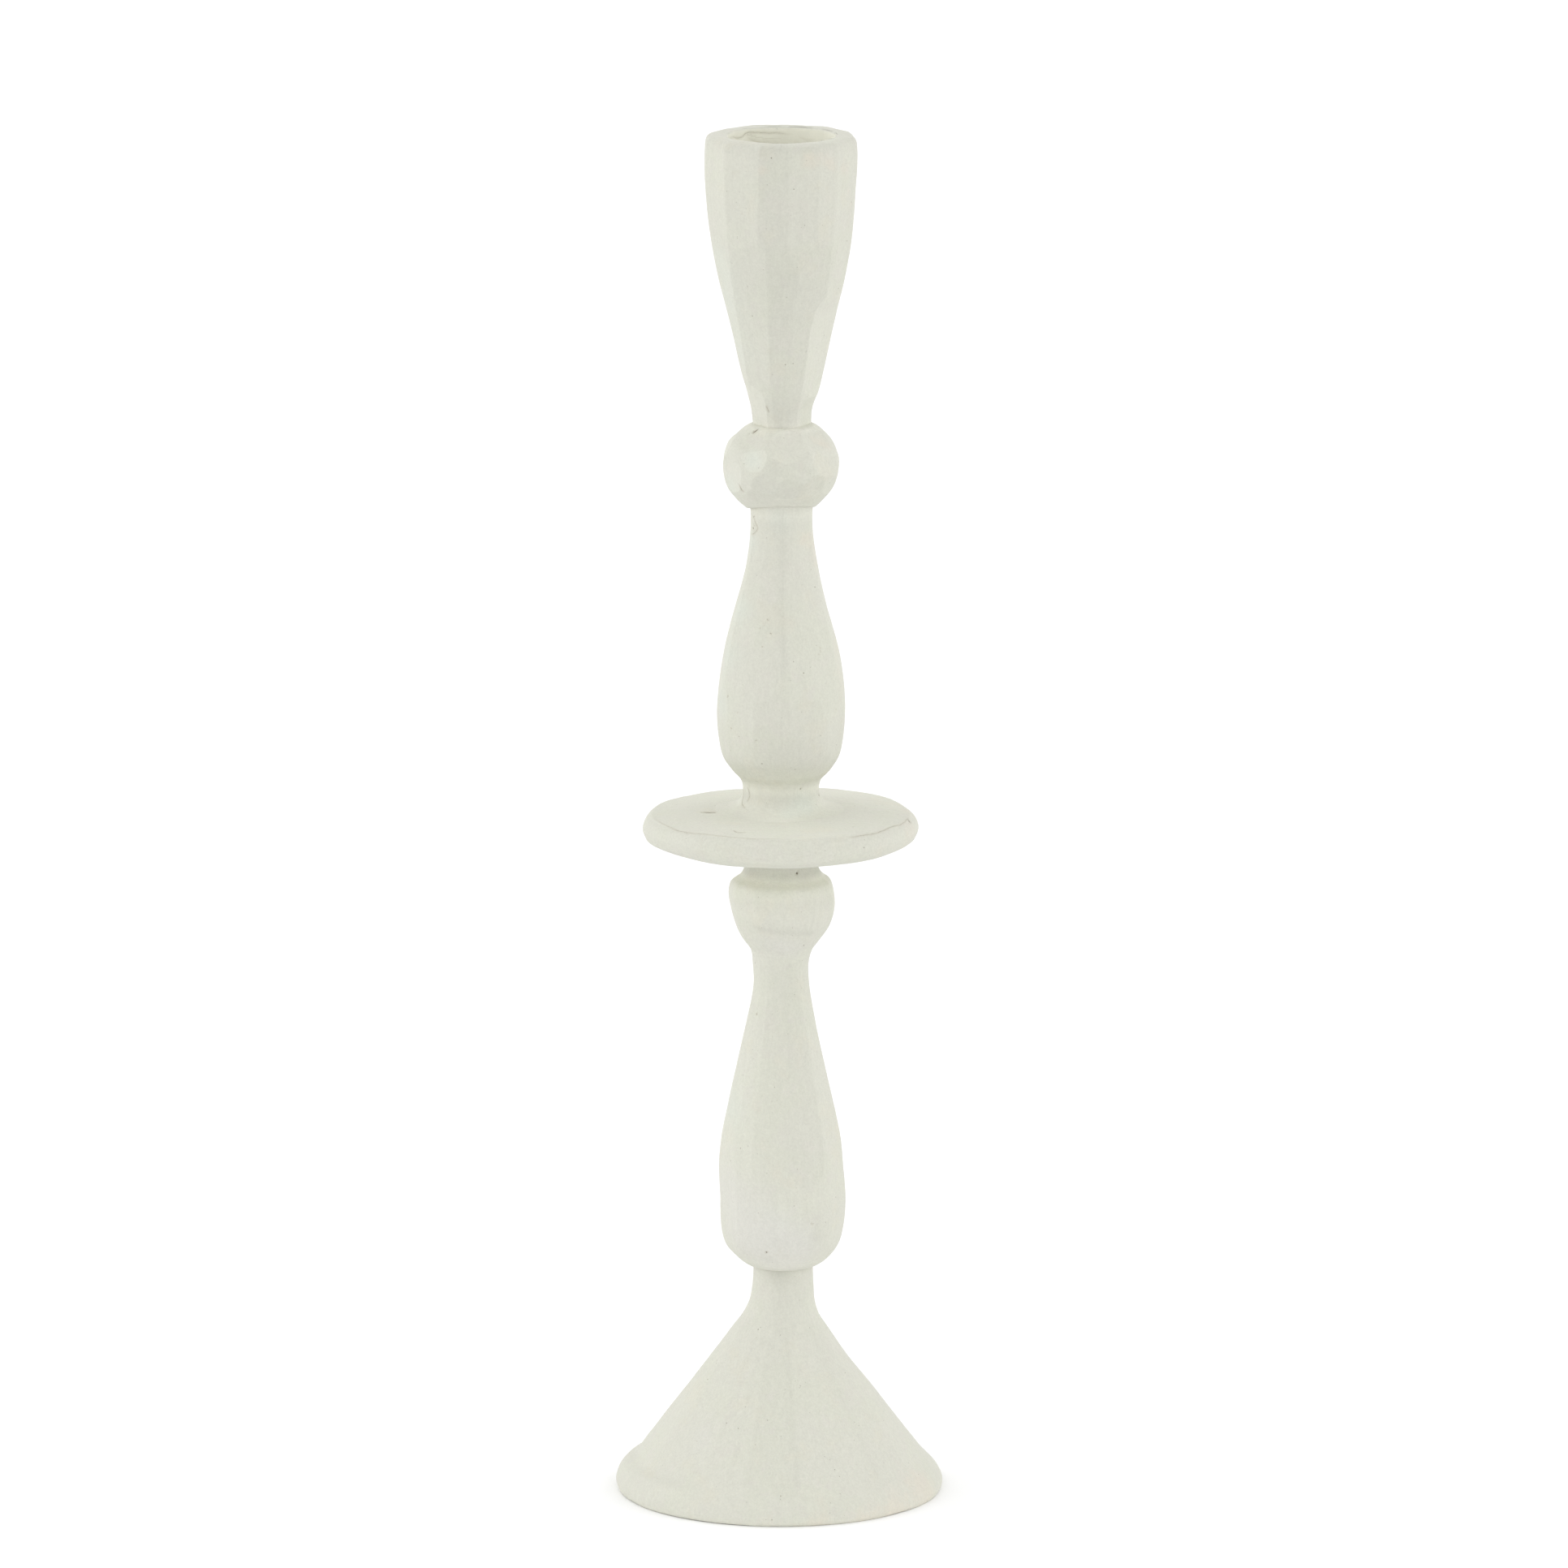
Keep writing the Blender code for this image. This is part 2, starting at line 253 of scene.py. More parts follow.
def cell_values(cells, seed):
    """A repeatable value from -1 to 1 for each whole-number cell, mixed by large odd factors."""
    mixed = cells[..., 0] * 73856093 ^ cells[..., 1] * 19349663 ^ cells[..., 2] * 83492791
    mixed = (mixed ^ (seed * 2654435)) & 0xFFFFFFFF
    mixed = ((mixed ^ (mixed >> 15)) * 2246822519) & 0xFFFFFFFF
    mixed = ((mixed ^ (mixed >> 13)) * 3266489917) & 0xFFFFFFFF
    return ((mixed ^ (mixed >> 16)) & 0xFFFF) / 32767.5 - 1


def smooth_noise(points, size, seed):
    """Soft noise from -1 to 1 whose lumps are about size mm across (one number or one per axis)."""
    places = points / np.asarray(size, float) + 100.0
    cells = np.floor(places).astype(np.int64)
    part = places - cells
    part = part * part * (3 - 2 * part)
    total = np.zeros(points.shape[:-1])
    for corner in np.ndindex(2, 2, 2):
        weight = np.ones(points.shape[:-1])
        for axis, high in enumerate(corner):
            weight = weight * (part[..., axis] if high else 1 - part[..., axis])
        total += weight * cell_values(cells + np.array(corner), seed)
    return total


def soft_step(low, high, value):
    """0 below low, 1 above high, and a smooth change between."""
    t = np.clip((value - low) / (high - low), 0, 1)
    return t * t * (3 - 2 * t)


def soft_min(a, b, blend):
    """The smaller of two values, with the crease between them rounded over blend."""
    mix = np.clip(0.5 + (b - a) / (2 * blend), 0, 1)
    return b + (a - b) * mix - blend * mix * (1 - mix)


def facing(degrees):
    """The angle of a direction seen from the front: 0 faces the viewer, 90 the viewer's right."""
    return math.radians(degrees - 90)


def long_flat(radius, angle, height, centre, half_width, lean, low, high, strength):
    """The depth of a flat along the outline. strength is its share of a true plane's depth, and
    lean turns it by so many degrees per mm of height."""
    middle = (low + high) / 2
    turn = facing(centre) + np.radians(lean * (height - middle))
    off = (angle - turn + math.pi) % TAU - math.pi
    width = math.radians(half_width)
    plane = math.cos(width) / np.cos(np.clip(off, -FLAT_LIMIT, FLAT_LIMIT))
    depth = np.maximum(1 - plane, 0)
    begun = soft_step(low - FLAT_RUN_OUT, low + FLAT_RUN_OUT, height)
    ended = soft_step(high - FLAT_RUN_OUT, high + FLAT_RUN_OUT, height)
    return radius * strength * begun * (1 - ended) * depth


def knife_cut(radius, angle, height, centre, tilt, distance, level):
    """Slices off what lies beyond a plane: its facing and tilt upwards, and its distance from the
    point on the axis at that level."""
    rise = math.radians(tilt)
    off = np.cos(angle - facing(centre))
    toward = np.maximum(off * math.cos(rise), 1e-4)
    plane = (distance - math.sin(rise) * (height - level)) / toward
    plane = np.where(off > 0.05, plane, BEYOND)
    return soft_min(radius, np.clip(plane, 0, BEYOND), CUT_BLEND)


def pare(radius, angle, height, base, flats):
    """Pares flats side by side. Each is given by its facing, half width and lean, the heights
    above the base that it runs between, its strength and its tone: painted shading that makes
    the flat lighter above 0 and darker below 0."""
    depth, tone = np.zeros_like(radius), np.zeros_like(radius)
    for centre, half_width, lean, low, high, strength, shade in flats:
        cut = long_flat(radius, angle, height, centre, half_width, lean, base + low, base + high,
                        strength)
        tone = np.where(cut > depth, shade, tone)
        depth = np.maximum(depth, cut)
    return radius - depth, tone


def keep_reach(radius, angle, left, right):
    """Scales each row so that it still reaches as far left and right as the outline says."""
    across = radius * np.cos(angle)
    widen_right = right / across.max(axis=1, keepdims=True)
    widen_left = left / -across.min(axis=1, keepdims=True)
    to_right = (1 + np.cos(angle)) / 2
    return radius * (widen_right * to_right + widen_left * (1 - to_right))


# ---------------------------------------------------------------- meshes


def surface_normals(places):
    """Outward normals of a grid of places, rows along the outline and columns round the axis."""
    along = np.gradient(places, axis=0)
    around = np.roll(places, -1, axis=1) - np.roll(places, 1, axis=1)
    normals = np.cross(around, along)
    lengths = np.linalg.norm(normals, axis=2, keepdims=True)
    return normals / np.maximum(lengths, 1e-9)


def grid_mesh(name, places, through):
    """A closed mesh from a grid of places in mm. Its ends meet, or are closed by flat discs."""
    rows, columns = places.shape[:2]
    index = np.arange(rows * columns).reshape(rows, columns)
    lower, upper = (index, np.roll(index, -1, axis=0)) if through else (index[:-1], index[1:])
    quads = np.stack(
        (lower, np.roll(lower, -1, axis=1), np.roll(upper, -1, axis=1), upper), axis=-1
    ).reshape(-1, 4)
    faces = quads.tolist()
    if not through:
        faces.append(index[0, ::-1].tolist())
        faces.append(index[-1].tolist())
    mesh = bpy.data.meshes.new(name)
    mesh.from_pydata((places.reshape(-1, 3) * MM).tolist(), [], faces)
    mesh.shade_smooth()
    return mesh


def add_value(mesh, name, values):
    """Stores one number per vertex, for the mesh's material to read."""
    attribute = mesh.attributes.new(name, "FLOAT", "POINT")
    attribute.data.foreach_set("value", np.asarray(values, np.float32).reshape(-1))


def surface_point(places, azimuth, height, reach=None):
    """The grid place at an azimuth in degrees that is nearest to a height on the outside, or to a
    reach from the axis near that height."""
    angle = facing(azimuth) % TAU
    column = round(angle / TAU * places.shape[1]) % places.shape[1]
    line = places[:, column]
    outer = np.hypot(line[:, 0], line[:, 1])
    if reach is None:
        gap = np.abs(line[:, 2] - height) + 0.02 * (outer.max() - outer)
    else:
        gap = np.abs(outer - reach) + 0.3 * np.abs(line[:, 2] - height)
    return line[np.argmin(gap)]


def crack_fields(places, normals, cracks, seed):
    """For each place, how far to the side of the nearest crack it lies, and that crack's width."""
    side = np.full(places.shape[:2], NO_CRACK)
    width = np.zeros(places.shape[:2])
    nearest = np.full(places.shape[:2], math.inf)
    for number, (points, half_width) in enumerate(cracks):
        line = np.array([surface_point(places, *point) for point in points])
        line = smooth_run(line, CRACK_STEP)
        wander = smooth_noise(line, CRACK_WANDER_SIZE, seed + 7 * number)
        sideways = np.cross(np.gradient(line, axis=0), line * (1, 1, 0))
        sideways /= np.maximum(np.linalg.norm(sideways, axis=1, keepdims=True), 1e-9)
        line = line + sideways * (CRACK_WANDER * wander)[:, None]
        for step, (start, end) in enumerate(zip(line, line[1:])):
            along = end - start
            length = np.linalg.norm(along)
            along = along / length
            middle = (start + end) / 2
            near = np.linalg.norm(places - middle, axis=2) < length + CRACK_SEARCH
            offset = places[near] - start
            reached = offset @ along
            travel = np.clip(reached, 0, length)
            beyond = (reached < 0) if step == 0 else np.zeros(len(reached), bool)
            if step == len(line) - 2:
                beyond = beyond | (reached > length)
            gap = offset - travel[:, None] * along
            distance = np.linalg.norm(gap, axis=1)
            across = np.cross(along, normals[near])
            signed = np.einsum("ij,ij->i", gap, across)
            sign = np.where(signed < 0, -1.0, 1.0)
            share = (step + travel / length) / (len(line) - 1)
            taper = np.sqrt(np.clip(np.sin(math.pi * np.clip(share, 0.02, 0.98)), 0, 1))
            closer = distance < nearest[near]
            where = tuple(axis[closer] for axis in np.nonzero(near))
            nearest[where] = distance[closer]
            side[where] = (sign * distance)[closer]
            width[where] = np.where(beyond, 0, half_width * taper)[closer]
    return side, width


def blob_field(places, blobs):
    """Soft patches round chosen places: each is (azimuth, height, reach), radius and strength.
    With no azimuth it is a band all the way round."""
    field = np.zeros(places.shape[:2])
    for (azimuth, height, reach), radius, strength in blobs:
        if azimuth is None:
            distance = np.abs(places[..., 2] - height)
        else:
            middle = surface_point(places, azimuth, height, reach)
            distance = np.linalg.norm(places - middle, axis=2)
        field += strength * np.exp(-((distance / radius) ** 2))
    return field


def socket_share(radius, height, shown):
    """1 on the wall and floor of the cup's socket, and 0 on its rim and outside: where paler paint
    is put as painted light over the shade in the socket.
    """
    later_half = (np.arange(len(radius)) > len(radius) / 2)[:, None]
    within = soft_step(SOCKET_WALL + 0.6, SOCKET_WALL - 0.1, radius)
    under_rim = soft_step(-0.15, -0.7, height - height.max())
    return within * under_rim * later_half * (shown > 0)


def carve_section(
    node,
    carve,
    hidden_start,
    hidden_end,
    through=False,
    columns=288,
    spacing=0.35,
    rounding=2,
    sink_start=JOINT_OVERLAP,
    sink_end=JOINT_OVERLAP,
    swell=0.16,
    reshape=None,
    lift=None,
    cracks=(),
    tones=(),
    warm=(),
    cool=(),
    grey=(),
    pale=False,
    seed=1,
):
    """One wooden section as a fine mesh object that stands for its CAD node. sink_start and
    sink_end carry the ends of its outline into its neighbours."""
    stations = node_outline(node)
    low = stations[max(hidden_start, 1), 0]
    stations[np.abs(stations[:, 0] - low) < LEVEL_TOLERANCE, 0] -= sink_start
    high = stations[len(stations) - 1 - hidden_end, 0]
    stations[np.abs(stations[:, 0] - high) < LEVEL_TOLERANCE, 0] += sink_end
    if reshape is not None:
        stations = reshape(stations)
    rows = fine_outline(stations, hidden_start, hidden_end, spacing, rounding)
    height, left, right, shown = (rows[:, i : i + 1] for i in range(4))
    angle = np.arange(columns)[None, :] * TAU / columns
    radius = (right + left + (right - left) * np.cos(angle)) / 2
    height = height + 0 * angle
    carved, tone = carve(radius, angle, height)
    carved = keep_reach(carved, angle, left, right)
    radius = np.where(shown > 0, carved, radius)
    if lift is not None:
        height = height + lift(angle, height)
    places = np.stack((radius * np.cos(angle), radius * np.sin(angle), height), axis=2)
    normals = surface_normals(places)
    side, width = crack_fields(places, normals, cracks, seed)
    push = swell * smooth_noise(places, BROAD_DENT, seed)
    for layer, (size, depth) in enumerate(DENTS, start=1):
        push += depth * smooth_noise(places, size, seed + layer)
    push -= GROOVE_DEPTH * width / GROOVE_WIDTH * np.exp(-((side / GROOVE_WIDTH) ** 2))
    places = places + normals * (push * shown)[..., None]
    mesh = grid_mesh(f"{node}_wood", places, through)
    add_value(mesh, "crack_side", side)
    add_value(mesh, "crack_width", width)
    add_value(mesh, "warm", blob_field(places, warm))
    add_value(mesh, "cool", blob_field(places, cool))
    add_value(mesh, "grey", blob_field(places, grey))
    # Paler paint in the socket is painted light, lifting the shade on its wall and floor
    inside = socket_share(radius, height, shown) if pale else np.zeros_like(radius)
    add_value(mesh, "pale", inside)
    # tone holds mostly painted light and shade: each flat's own shading and the tones lists
    add_value(mesh, "tone", tone + blob_field(places, tones))
    piece = bpy.data.objects.new(f"{node}_wood", mesh)
    bpy.context.scene.collection.objects.link(piece)
    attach(piece, BODY)
    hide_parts(node)
    return piece


# ---------------------------------------------------------------- node materials


class Nodes:
    """Builds a material's nodes with short calls. A number or colour sets a socket's own value,
    and another node's output is linked to it."""

    def __init__(self, name):
        self.material = bpy.data.materials.new(name)
        self.material.use_nodes = True
        self.tree = self.material.node_tree
        self.shader = self.tree.nodes["Principled BSDF"]
        self.place = self.add("ShaderNodeTexCoord").outputs["Object"]

    def add(self, kind, inputs=None, **settings):
        node = self.tree.nodes.new(kind)
        for key, value in settings.items():
            setattr(node, key, value)
        for key, value in (inputs or {}).items():
            self.put(node.inputs[key], value)
        return node

    def put(self, socket, value):
        if isinstance(value, bpy.types.NodeSocket):
            self.tree.links.new(value, socket)
        elif socket.type == "RGBA":
            socket.default_value = (*value, 1.0)
        else:
            socket.default_value = value

    def math(self, operation, *values):
        node = self.add("ShaderNodeMath", operation=operation)
        for socket, value in zip(node.inputs, values):
            self.put(socket, value)
        return node.outputs[0]

    def noise(self, per_mm, detail=2.0, roughness=0.5, shift=0.0):
        """Noise with features per_mm along each axis (one number or three)."""
        scale = np.broadcast_to(np.asarray(per_mm, float) / MM, 3)
        mapping = self.add(
            "ShaderNodeMapping",
            {"Vector": self.place, "Scale": tuple(scale), "Location": (shift, shift, shift)},
        )
        inputs = {"Vector": mapping.outputs[0], "Scale": 1.0}
        inputs.update({"Detail": detail, "Roughness": roughness})
        return self.add("ShaderNodeTexNoise", inputs).outputs["Fac"]

    def spread(self, value, low, high, to_low=0.0, to_high=1.0):
        """Maps low..high smoothly to to_low..to_high."""
        inputs = {"Value": value, "From Min": low, "From Max": high}
        inputs.update({"To Min": to_low, "To Max": to_high})
        node = self.add("ShaderNodeMapRange", inputs, interpolation_type="SMOOTHSTEP")
        return node.outputs["Result"]

    def mix(self, share, below, above, blend="MIX"):
        node = self.add("ShaderNodeMix", data_type="RGBA", blend_type=blend)
        self.put(node.inputs[0], share)
        self.put(node.inputs[6], below)
        self.put(node.inputs[7], above)
        return node.outputs[2]

    def value(self, name):
        return self.add("ShaderNodeAttribute", attribute_name=name).outputs["Fac"]

    def pits(self, per_mm, chance, size, shift):
        """1 inside round pits, about size mm across, in a chance share of a pattern's cells."""
        inputs = {"Vector": self.place, "Location": (shift,) * 3, "Scale": (per_mm / MM,) * 3}
        mapping = self.add("ShaderNodeMapping", inputs)
        cells = self.add("ShaderNodeTexVoronoi", {"Vector": mapping.outputs[0], "Scale": 1.0})
        picked = self.add("ShaderNodeSeparateColor", {"Color": cells.outputs["Color"]})
        chosen = self.math("LESS_THAN", picked.outputs[0], chance)
        reach = self.math("MULTIPLY_ADD", picked.outputs[1], size * per_mm, 0.3 * size * per_mm)
        inside = self.math("LESS_THAN", cells.outputs["Distance"], reach)
        return self.math("MULTIPLY", chosen, inside)

    def bump(self, height, distance_mm, below=None):
        inputs = {"Height": height, "Distance": distance_mm * MM, "Strength": 1.0}
        if below is not None:
            inputs["Normal"] = below
        return self.add("ShaderNodeBump", inputs).outputs["Normal"]


# Paint colours, linear
PAINT = (0.562, 0.562, 0.494)
PAINT_GREEN = (0.560, 0.564, 0.488)
PAINT_COOL = (0.560, 0.580, 0.515)
PAINT_GREY = (0.572, 0.566, 0.520)
PAINT_LILAC = (0.564, 0.559, 0.495)
PAINT_CREAM = (0.567, 0.561, 0.484)
SOCKET_PAINTED_LIGHT = (0.772, 0.768, 0.676)  # painted light in the socket, paler than the paint outside
THIN_PAINT = (0.630, 0.555, 0.465)  # worn, with warm wood under it
STAIN = (0.470, 0.440, 0.350)
DARK_GAP = (0.150, 0.120, 0.080)


def painted_wood(name, shift, streak=(0.9, 0.9, 0.07)):
    """Chalky off-white paint over carved wood: patches, stains, grain, pinholes and cracks, with
    painted light and shade from the tone and pale values.
    """
    n = Nodes(name)

    # Broad patches of slightly different paint, some at random and some at chosen places
    colour = n.mix(n.spread(n.noise(0.08, 2.0, shift=shift), 0.44, 0.62), PAINT, PAINT_GREEN)
    lilac = n.spread(n.noise(0.22, 3.0, 0.6, shift=shift + 31), 0.50, 0.66)
    colour = n.mix(lilac, colour, PAINT_LILAC)
    cream = n.spread(n.noise(0.13, 3.0, 0.6, shift=shift + 57), 0.54, 0.70)
    colour = n.mix(cream, colour, PAINT_CREAM)
    colour = n.mix(n.spread(n.value("cool"), 0.0, 1.0, 0.0, 0.9), colour, PAINT_COOL)
    colour = n.mix(n.spread(n.value("grey"), 0.0, 1.0, 0.0, 0.9), colour, PAINT_GREY)

    # Worn and stained places with ragged edges
    ragged = n.math("MULTIPLY_ADD", n.noise(0.5, 4.0, shift=shift + 13), 1.2, -0.6)
    thin = n.spread(n.math("ADD", n.value("warm"), ragged), 0.2, 1.2, 0.0, 0.32)
    colour = n.mix(thin, colour, THIN_PAINT)
    stain = n.spread(n.noise(0.16, 5.0, 0.65, shift=shift + 83), 0.60, 0.78, 0.0, 0.16)
    colour = n.mix(stain, colour, STAIN)

    # Painted light and shade from the tone values, then brush streaks, mottling and grit, which
    # lighten and darken the paint a little
    streaks = n.noise(streak, 3.0, 0.6, shift=shift + 5)
    mottle = n.noise(0.8, 4.0, 0.6, shift=shift + 7)
    grit = n.noise(1.9, 3.0, 0.7, shift=shift + 9)
    tone = n.math("MULTIPLY_ADD", n.value("tone"), 0.10, 1.0)
    tone = n.math("MULTIPLY_ADD", n.spread(streaks, 0.3, 0.7, -1.0, 1.0), 0.012, tone)
    tone = n.math("MULTIPLY_ADD", n.spread(mottle, 0.3, 0.7, -1.0, 1.0), 0.016, tone)
    tone = n.math("MULTIPLY_ADD", n.spread(grit, 0.25, 0.75, -1.0, 1.0), 0.045, tone)
    shade = n.add("ShaderNodeCombineColor", {"Red": tone, "Green": tone, "Blue": tone}).outputs[0]
    colour = n.mix(1.0, colour, shade, "MULTIPLY")
    # Painted light: paler paint on the socket's wall and floor, where shade falls
    colour = n.mix(n.value("pale"), colour, SOCKET_PAINTED_LIGHT)

    # Pinholes, and cracks with a stain along them
    pits = n.pits(0.42, 0.45, 0.12, shift)
    fine_pits = n.pits(0.90, 0.30, 0.09, shift + 3)
    holes = n.math("MAXIMUM", pits, n.math("MULTIPLY", fine_pits, 0.6))
    side = n.math("ABSOLUTE", n.value("crack_side"))
    ragged_side = n.math("MULTIPLY_ADD", n.noise(4.0, 2.0, shift=shift + 17), 0.16, side)
    width = n.value("crack_width")
    edge = n.math("SUBTRACT", ragged_side, n.math("ADD", width, 0.04))
    opened = n.spread(width, 0.0, 0.02)
    crack = n.math("MULTIPLY", n.spread(edge, -0.10, 0.10, 1.0, 0.0), opened)
    beside = n.math("SUBTRACT", side, n.math("MULTIPLY", width, 3.0))
    stained = n.spread(beside, 0.0, 0.5, 0.30, 0.0)
    colour = n.mix(n.math("MULTIPLY", stained, opened), colour, STAIN)
    colour = n.mix(n.math("MULTIPLY", holes, 0.6), colour, DARK_GAP)
    colour = n.mix(n.math("MULTIPLY", crack, 0.92), colour, DARK_GAP)
    n.put(n.shader.inputs["Base Color"], colour)

    # Chalky gloss and relief
    rough = n.spread(mottle, 0.3, 0.7, 0.60, 0.78)
    n.put(n.shader.inputs["Roughness"], n.math("ADD", rough, n.math("MULTIPLY", holes, 0.2)))
    n.shader.inputs["Specular IOR Level"].default_value = 0.35
    normal = n.bump(streaks, 0.10)
    normal = n.bump(mottle, 0.07, normal)
    normal = n.bump(grit, 0.035, normal)
    normal = n.bump(n.math("SUBTRACT", 1.0, n.math("MAXIMUM", holes, crack)), 0.12, normal)
    n.put(n.shader.inputs["Normal"], normal)
    return n.material


def dress(piece, material):
    """Gives a piece one material."""
    piece.data.materials.clear()
    piece.data.materials.append(material)


# ---------------------------------------------------------------- the wooden sections

# Azimuth 0 faces the viewer, 90 is on the viewer's right and 180 at the back. Heights are above
# the table, and reaches are from the axis. The lists below hold:
#   FLATS: azimuth, half width, lean, low and high above the section's base, strength, tone
#   (the tone is painted shading of the flat)
#   WARM, COOL, GREY, TONES: (azimuth, height, reach) of a patch, its radius and its strength
#   (TONES mostly hold painted light and shade: above 0 lighter, below 0 darker)
#   CRACKS: the places that a crack runs through, and its half width

CUP_FLATS = [
    (-61, 14, 0.0, 38, 68, 0.9, 0.1), (-32, 14.5, 0.1, 40, 68, 0.9, 0.0),
    (-6, 11.5, 0.1, 36, 68, 0.9, -0.35), (17.5, 12.5, 0.0, 40, 68, 0.8, -0.05),
    (38, 8, 0.0, 30, 68, 0.9, 0.0), (62, 16, 0.0, 26, 68, 0.8, 0.0),
    (-68, 15, 0.2, 6, 42, 0.9, 0.2), (-34, 20, 0.3, 8, 42, 0.8, -0.1),
    (0, 14, 0.0, -2, 40, 0.8, -0.3), (31, 17, -0.2, 24, 42, 0.7, -0.2),
    (22, 11, 0.2, 6, 28, 0.8, -0.2), (62, 29, 0.0, 7, 28, 1.0, 0.25),
    (-58, 30, -0.2, -3, 8, 1.0, 0.5), (64, 32, 0.0, -3, 6, 0.9, 0.2),
    (96, 15, 0.1, 4, 68, 0.8, 0.0), (126, 15.5, -0.1, 4, 68, 0.8, 0.1),
    (157, 15.5, 0.1, 4, 68, 0.8, 0.0), (187, 14.5, 0.0, 4, 68, 0.8, -0.1),
    (216, 15, 0.15, 4, 68, 0.8, 0.1), (244, 14, -0.1, 4, 68, 0.8, 0.0),
    (270, 12.5, 0.1, 4, 68, 0.8, 0.1),
]
CUP_WARM = [
    ((40, 306.5, None), 2.2, 0.7), ((58, 305, None), 2.6, 0.8), ((66, 299, None), 1.8, 0.6),
    ((-14, 306, None), 1.6, 0.9), ((20, 307.5, None), 2.2, 0.9), ((30, 308, None), 2.0, 0.7),
    ((74, 296, None), 1.6, 0.5), ((-62, 277, None), 1.2, 0.6), ((-56, 265, None), 1.0, 0.5),
    ((150, 307, None), 4.0, 0.8), ((-140, 304, None), 3.0, 0.7), ((-120, 309.5, 12.1), 2.5, 1.3),
    ((-160, 308.5, 12.1), 2.0, 1.1),
]
CUP_COOL = [
    ((-66, 283, None), 6.0, 0.6), ((-66, 273, None), 6.0, 0.6), ((-64, 263, None), 5.0, 0.5),
]
# Painted shade on the front of the cup, painted light where it meets the knop, and a darker band
# round the rim
CUP_TONES = [
    ((-4, 279, None), 9.0, -0.3), ((-6, 250, None), 4.0, -0.2), ((None, 245.8, None), 0.9, 1.3),
    ((None, 310.4, None), 1.6, -0.35),
]
CUP_CRACKS = [
    ([(-104, 310.2, 12.1), (-118, 309.7, 12.1), (-133, 309.2, 12.1), (-142, 309.9, 12.1),
      (-161, 309.6, 12.1), (180, 309.8, 12.1), (167, 309.6, 12.1)], 0.022),
    ([(-138, 309.2, 12.1), (-149, 308.3, 12.1), (-158, 307.5, 12.1), (-178, 307.0, 12.1),
      (168, 307.2, 12.1)], 0.012),
    ([(162, 309.0, 12.1), (150, 308.2, 12.1), (139, 308.6, 12.1)], 0.010),
    ([(-27, 251), (-25, 250), (-24, 249.2)], 0.05),
]


def carve_cup(radius, angle, height):
    """Pares the cup's outside and leaves the wall of its socket rough."""
    base, top = (corner.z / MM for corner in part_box("candle_cup"))
    inside = (radius < SOCKET_WALL) & (height > top - SOCKET_LOWEST)
    cut, tone = pare(radius, angle, height, base, CUP_FLATS)
    across, along = np.broadcast_arrays(np.cos(angle) * 12, np.sin(angle) * 12, height)[:2]
    wall = np.stack((across, along, height), axis=-1)
    rough = radius + 0.12 * smooth_noise(wall, 2.2, 61) + 0.22 * smooth_noise(wall, 6, 62)
    return np.where(inside, rough, cut), tone


def cup_floor(stations):
    """Carries the socket's outline on across its floor, almost to the axis."""
    return np.concatenate((stations, [(stations[-1, 0], 0.3, 0.3)]))


def make_cup():
    piece = carve_section(
        "candle_cup", carve_cup, 2, 0, rounding=3, sink_start=1.3, sink_end=0.0, reshape=cup_floor,
        warm=CUP_WARM, cool=CUP_COOL, tones=CUP_TONES, cracks=CUP_CRACKS, pale=True, seed=11,
    )
    dress(piece, painted_wood("cup_paint", 0.0))
    return piece


# Knife cuts on the knop: azimuth, tilt upwards in degrees, depth and tone, which is painted shading
# of the facet
KNOP_FACETS = [
    (-66, -5, 1.05, 0.15), (-29, 19, 0.45, 0.5), (-8, 9, 0.30, -0.3), (18, 1, 0.36, -0.15),
    (7, 37, 0.85, 0.35), (52, 14, 0.65, 0.1), (10, -23, 0.60, -0.55), (37, -18, 0.42, -0.4),
    (-16, -16, 0.45, -0.5), (-36, 42, 0.55, 0.1), (48, 40, 0.60, 0.2), (88, -5, 0.70, 0.2),
    (66, -24, 0.40, 0.1), (-24, -36, 0.40, -0.3), (118, -14, 0.6, -0.1), (150, 18, 0.7, 0.2),
    (184, -16, 0.6, -0.2), (216, 14, 0.7, 0.2), (248, -14, 0.6, 0.0), (125, 34, 0.5, 0.2),
    (200, 38, 0.6, 0.1), (272, 26, 0.5, 0.2), (160, -36, 0.5, -0.2), (215, -38, 0.5, -0.1),
]
KNOP_CUT_SHOWS = 0.05  # a cut deeper than this takes its own painted shading
KNOP_HOLLOW = 1.5  # how far the knop's lower edge is cut up in front
KNOP_HOLLOW_HEIGHT = 7


def carve_knop(radius, angle, height):
    """Slices the knop's facets, each to its own depth below the ball, and gives each cut facet its
    own painted shading.
    """
    low, high = (corner.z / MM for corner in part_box("knop"))
    level = (low + high) / 2
    cut, tone = radius, np.zeros_like(radius)
    for centre, tilt, depth, shade in KNOP_FACETS:
        rise = math.radians(tilt)
        toward = radius.mean(axis=1) * math.cos(rise)
        reach = (toward + (height[:, 0] - level) * math.sin(rise)).max()
        before = cut
        cut = knife_cut(cut, angle, height, centre, tilt, reach - depth, level)
        tone = np.where(cut < before - KNOP_CUT_SHOWS, shade, tone)
    return cut, tone


def lift_knop(angle, height):
    """Raises the lower edge in front, where the knife undercut it."""
    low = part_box("knop")[0].z / MM
    front = np.clip(np.cos(angle - facing(5)), 0, 1)
    return KNOP_HOLLOW * front * (1 - soft_step(low, low + KNOP_HOLLOW_HEIGHT, height))


